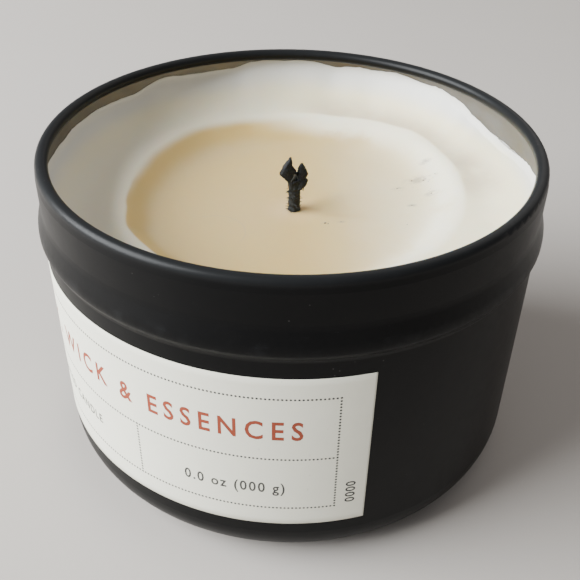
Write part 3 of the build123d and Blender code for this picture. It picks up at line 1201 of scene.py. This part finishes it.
# %% Make the char's finish
def char_finish(name, black, grey, ash_place=None):
    """Crumbly char. Below ash_place (x, z in metres), if given, pale ash forks and the stem greys."""
    f = Finish(name)
    coarse = f.noise(1500, 5, 0.7)
    fine = f.noise(6500, 5, 0.7)
    colour = f.mix(coarse.above(0.5, 0.4), black, grey)
    ash = fine.above(0.60, 0.10) * 0.12
    if ash_place:
        across = (f.x - ash_place[0] + (f.noise(1900, 4) - 0.5) * (0.50 * mm)).math("ABSOLUTE")
        down = f.z * -1 + ash_place[1]
        in_height = down.above(0, 0.2 * mm) * down.below(1.0 * mm, 0.6 * mm)
        past_leg = across - down * 0.45
        leg = past_leg.math("ABSOLUTE").below(0.05 * mm, 0.17 * mm)
        between = past_leg.below(0, 0.1 * mm) * down.below(0.6 * mm, 0.4 * mm)
        crust = f.noise(2600, 4, 0.6).above(0.36, 0.24)
        ash = ash + (leg + between * 0.55) * in_height * crust * f.y.below(wick_y, 0.4 * mm)
        faded = down.above(1.5 * mm, 1.2 * mm) * fine.above(0.30, 0.35)
        colour = f.mix(faded * 0.75, colour, (0.0150, 0.0172, 0.0160, 1))
    colour = f.mix((ash * 0.75).math("MINIMUM", 0.75), colour, (0.125, 0.134, 0.148, 1))
    rough = 0.50 + coarse * 0.25
    normal = f.bump(coarse * 0.6 + fine * 0.4, 0.10 * mm, 0.9)
    return f.finish(Base_Color=colour, Roughness=rough, Normal=normal, Specular_IOR_Level=0.22)


char = char_finish(
    "char", (0.0012, 0.0015, 0.0021, 1), (0.0055, 0.0066, 0.0086, 1),
    ash_place=(wick_x, pool_floor + 5.75 * mm),
)

# %% [markdown]
# Char has no clean edges, so the stub is put together roughly, melted into one skin by a voxel
# remesh, and then roughened with noise, coarse first and fine after.

# %% Melt the stub together
def roughen(piece, name, size, strength):
    """Pushes the skin in and out with soft noise of that size."""
    texture = bpy.data.textures.new(name, "CLOUDS")
    texture.noise_scale = size
    texture.noise_depth = 2
    push = piece.modifiers.new(name, "DISPLACE")
    push.texture = texture
    push.texture_coords = "LOCAL"
    push.strength = strength
    push.mid_level = 0.5


stub_mesh = skin("stub", stem_rings())
parts = bmesh.new()
for mesh in (stub_mesh, lobe("left", left_lobe, 0.12), lobe("right", right_lobe, -0.15)):
    parts.from_mesh(mesh)
parts.to_mesh(stub_mesh)
parts.free()
stub = new_piece("wick_stub", stub_mesh, char)
melt = stub.modifiers.new("melt", "REMESH")
melt.mode = "VOXEL"
melt.voxel_size = 0.055 * mm
melt.use_smooth_shade = True
roughen(stub, "lumps", 0.45 * mm, 0.20 * mm)
roughen(stub, "crumbs", 0.13 * mm, 0.09 * mm)
flatten(stub)
settle(stub, "wick_char")
print("stub:", len(stub.data.polygons), "faces")

# %% [markdown]
# ## Fibres on the stub
#
# Burned cotton ends stand out from the stub like short whiskers. They are scattered over its
# surface by a tree: random points, a thin cone on each, turned along the surface's normal.

# %% Scatter whiskers
def whisker_tree(material):
    tree = new_modifier_tree("whiskers", {
        "Density": ("NodeSocketFloat", 4e6), "Length": ("NodeSocketFloat", 0.0003),
        "Top": ("NodeSocketFloat", 0.04), "Seed": ("NodeSocketInt", 3),
    })
    height = tree.add("ShaderNodeSeparateXYZ", None, {0: tree.add("GeometryNodeInputPosition")}, out=2)
    low_part = tree.add(
        "FunctionNodeCompare", {"data_type": "FLOAT", "operation": "LESS_THAN"},
        {0: height, 1: entry(tree, "Top")},
    )
    scatter = {
        "Mesh": entry(tree, "Geometry"), "Selection": low_part, "Density": entry(tree, "Density"),
        "Seed": entry(tree, "Seed"),
    }
    points = tree.add("GeometryNodeDistributePointsOnFaces", {"distribute_method": "RANDOM"}, scatter)
    rotation = Wire(tree, points.socket.node.outputs["Rotation"])
    cone = tree.add("GeometryNodeMeshCone", None, {
        "Vertices": 5, "Side Segments": 2, "Radius Top": 0.012 * mm, "Radius Bottom": 0.075 * mm,
        "Depth": entry(tree, "Length"),
    })
    size = tree.add("FunctionNodeRandomValue", {"data_type": "FLOAT"}, {2: 0.4, 3: 1.2, "Seed": 5}, out=1)
    tilt = tree.add("FunctionNodeRandomValue", {"data_type": "FLOAT_VECTOR"}, {
        0: (-0.5, -0.5, 0.0), 1: (0.5, 0.5, 6.28), "Seed": 8,
    })
    hairs = tree.add("GeometryNodeInstanceOnPoints", None, {
        "Points": points, "Instance": cone, "Rotation": rotation, "Scale": size,
    })
    hairs = tree.add("GeometryNodeRotateInstances", None, {"Instances": hairs, "Rotation": tilt})
    return end_tree(tree, hairs, material)


whiskers = new_piece("wick_whiskers", stub.data.copy(), char)
give_modifier(
    whiskers, whisker_tree(char), density=4.2e6, length=0.50 * mm, top=pool_floor + 3.6 * mm, seed=11
)
flatten(whiskers)
settle(whiskers)
print("whiskers:", len(whiskers.data.polygons), "faces")

# %% [markdown]
# ## Soot on the wax
#
# Flakes of char fall from the wick and set in the wax. A few larger ones lie where the CAD has
# them. Around them are many that are barely larger than dust. Each is a lumpy little ball,
# pressed flat, with its own size and turn.

# %% Choose where the flakes lie
# Each place in mm: x, y and the flake's radius.
crumb_places = [
    (4.7, -2.7, 0.20), (5.1, -2.9, 0.12), (6.9, -2.3, 0.10), (15.5, 7.1, 0.10), (17.8, 8.9, 0.14),
    (19.4, 8.3, 0.12), (21.1, 8.9, 0.10), (17.1, 2.1, 0.10), (15.9, -3.1, 0.09), (20.1, 4.4, 0.11),
]
dust_flakes = 16
dust_x = 18.9
dust_y = 7.4
dust_reach = 2.8
dice = random.Random(42)
for i in range(dust_flakes):
    turn = dice.uniform(0, full_turn)
    reach = dust_reach * dice.random() ** 0.7
    x = dust_x + 1.2 * reach * math.cos(turn)
    y = dust_y + reach * math.sin(turn)
    crumb_places.append((x, y, dice.uniform(0.03, 0.06)))
print("flakes:", len(crumb_places))

# %% [markdown]
# The tree sets one small ball on each place, turned and pressed flat, and then moves its points by
# noise, so that no two flakes are alike.

# %% Scatter the flakes
def crumb_tree(material):
    tree = new_modifier_tree("crumbs", {"Seed": ("NodeSocketInt", 4)})
    ball = tree.add("GeometryNodeMeshIcoSphere", None, {"Radius": 1.0, "Subdivisions": 2})
    turn = tree.add("FunctionNodeRandomValue", {"data_type": "FLOAT_VECTOR"}, {
        0: (-0.15, -0.15, 0.0), 1: (0.15, 0.15, 6.28), "Seed": entry(tree, "Seed"),
    })
    size = tree.add("GeometryNodeInputNamedAttribute", {"data_type": "FLOAT"}, {"Name": "size"})
    flat = tree.add("ShaderNodeCombineXYZ", None, {"X": size * 1.25, "Y": size * 0.75, "Z": size * 0.35})
    flakes = tree.add("GeometryNodeInstanceOnPoints", None, {
        "Points": entry(tree, "Geometry"), "Instance": ball, "Rotation": turn, "Scale": flat,
    })
    flakes = tree.add("GeometryNodeRealizeInstances", None, {0: flakes})
    here = tree.add("GeometryNodeInputPosition")
    lumps = tree.add("ShaderNodeTexNoise", None, {"Vector": here, "Scale": 5200.0, "Detail": 2.0}, out=1)
    push = tree.add("ShaderNodeVectorMath", {"operation": "SUBTRACT"}, {0: lumps, 1: (0.5, 0.5, 0.5)})
    push = tree.add("ShaderNodeVectorMath", {"operation": "SCALE"}, {0: push, "Scale": 0.12 * mm})
    flakes = tree.add("GeometryNodeSetPosition", None, {"Geometry": flakes, "Offset": push})
    return end_tree(tree, flakes, material)


crumb_points = bpy.data.meshes.new("soot")
spots = [Vector((x * mm, y * mm, surface(x * mm, y * mm) + 0.01 * mm)) for x, y, _ in crumb_places]
crumb_points.from_pydata(spots, [], [])
sizes = crumb_points.attributes.new("size", "FLOAT", "POINT")
sizes.data.foreach_set("value", [s * mm for _, _, s in crumb_places])
soot_char = char_finish("soot", (0.08, 0.068, 0.055, 1), (0.20, 0.175, 0.14, 1))
soot = new_piece("soot_flakes", crumb_points, soot_char)
give_modifier(soot, crumb_tree(soot_char), seed=4)
flatten(soot)
settle(soot, "soot_crumbs")
print("soot:", len(crumb_places), "flakes")

# %% [markdown]
# ## The pieces out of sight
#
# The metal tab, its sticky pad and the label under the base keep their CAD shapes, which are
# already right. Each gets its own finish.

# %% Finish the hidden pieces
def tab_finish():
    f = Finish("tinplate_tab")
    brushed = f.noise(1500, 4, 0.6, stretch=(1.0, 8.0, 1.0))
    spots = f.noise(380, 5, 0.6)
    colour = f.mix(brushed, (0.50, 0.50, 0.49, 1), (0.66, 0.66, 0.64, 1))
    colour = f.mix(spots.above(0.60, 0.1) * 0.4, colour, (0.60, 0.52, 0.38, 1))
    rough = 0.24 + brushed * 0.14 + spots * 0.10
    return f.finish(
        Base_Color=colour, Roughness=rough, Metallic=1.0, Normal=f.bump(brushed, 0.01 * mm, 0.5)
    )


def pad_finish():
    f = Finish("sticky_foam")
    pores = f.cells(1800)
    cloud = f.noise(150, 3)
    colour = f.mix(cloud, (0.70, 0.68, 0.61, 1), (0.82, 0.80, 0.74, 1))
    colour = f.mix(pores.below(0.25, 0.2) * 0.35, colour, (0.50, 0.48, 0.42, 1))
    return f.finish(Base_Color=colour, Roughness=0.6 + cloud * 0.2, Normal=f.bump(pores, 0.06 * mm, 0.7))


def base_label_finish():
    f = Finish("base_label_paper")
    fibre = f.noise(2600, 6, 0.7)
    flock = f.noise(420, 4, 0.6)
    colour = f.mix(flock, (0.66, 0.66, 0.62, 1), (0.75, 0.75, 0.71, 1))
    steps = (f.azimuth * (150 / full_turn)).math("FRACT")
    ring = (f.radius - 17.6 * mm).math("ABSOLUTE").below(0.09 * mm, 0.03 * mm)
    dotted = ring * (steps - 0.5).math("ABSOLUTE").below(0.26, 0.08)
    line = (f.radius - 18.6 * mm).math("ABSOLUTE").below(0.07 * mm, 0.03 * mm)
    colour = f.mix((dotted + line).math("MINIMUM", 1.0) * 0.85, colour, (0.12, 0.115, 0.105, 1))
    return f.finish(Base_Color=colour, Roughness=0.72 + fibre * 0.15, Normal=f.bump(fibre, 0.02 * mm, 0.6))


for node, make in (
    ("wick_sustainer", tab_finish), ("adhesive_pad", pad_finish), ("base_label", base_label_finish)
):
    piece = frame["nodes"][node]
    piece.data.materials.clear()
    piece.data.materials.append(make())

# %% [markdown]
# ## The floor
#
# The candle stands on a plain pale sheet, with a faint grain so that it doesn't look like paper
# cut out of the air. It is far wider than the view, and it isn't part of the candle.

# %% Lay the floor
def floor_finish():
    f = Finish("pale_floor")
    cloud = f.noise(9, 3)
    grain = f.noise(900, 4, 0.6)
    colour = f.mix(cloud, (0.375, 0.345, 0.315, 1), (0.415, 0.385, 0.355, 1))
    return f.finish(Base_Color=colour, Roughness=0.85 + grain * 0.1, Normal=f.bump(grain, 0.05 * mm, 0.3))


floor_mesh = bpy.data.meshes.new("floor")
half = 8.0
corners = [(-half, -half, 0), (half, -half, 0), (half, half, 0), (-half, half, 0)]
floor_mesh.from_pydata(corners, [], [(0, 1, 2, 3)])
floor_mesh.materials.append(floor_finish())
floor = bpy.data.objects.new("floor", floor_mesh)
bpy.context.scene.collection.objects.link(floor)
print("the floor is %.0f m wide" % (2 * half))

# %% [markdown]
# ## The light
#
# The light is one wide window to the left and fairly low, so that the left half of the wax falls
# into the wall's shade, the right half catches the light, and the curl and the bead carry long
# soft highlights. A dim, warm room fills the other side.

# %% Hang the lights
def soft_light(name, place_m, aim_m, width, height, watts, colour):
    """An area light at one place, aimed at another, both in metres."""
    data = bpy.data.lights.new(name, "AREA")
    data.shape = "RECTANGLE"
    data.size = width
    data.size_y = height
    data.energy = watts
    data.color = colour
    lamp = bpy.data.objects.new(name, data)
    bpy.context.scene.collection.objects.link(lamp)
    look = (Vector(aim_m) - Vector(place_m)).to_track_quat("-Z", "Y")
    lamp.matrix_world = Matrix.Translation(place_m) @ look.to_matrix().to_4x4()
    print(name, "gives", watts, "W")


soft_light(
    "window", place_m=(-0.62, -0.11, 0.40), aim_m=(0.0, 0.0, 0.03), width=0.66, height=0.56, watts=28.0,
    colour=(0.95, 0.98, 1.0),
)
soft_light(
    "room", place_m=(0.30, 0.45, 0.60), aim_m=(0.0, 0.0, 0.02), width=0.8, height=0.8, watts=1.6,
    colour=(1.0, 0.93, 0.86),
)

world = bpy.data.worlds.new("room_air")
world.use_nodes = True
air = world.node_tree.nodes["Background"]
air.inputs["Color"].default_value = (0.80, 0.80, 0.82, 1)
air.inputs["Strength"].default_value = 0.45
bpy.context.scene.world = world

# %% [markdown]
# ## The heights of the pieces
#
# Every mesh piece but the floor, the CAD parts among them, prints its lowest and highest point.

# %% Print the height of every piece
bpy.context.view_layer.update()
for piece in bpy.context.scene.objects:
    if piece.type == "MESH" and piece.name != "floor":
        heights = [(piece.matrix_world @ v.co).z / mm for v in piece.data.vertices]
        print("%-18s from %5.2f to %5.2f mm" % (piece.name, min(heights), max(heights)))
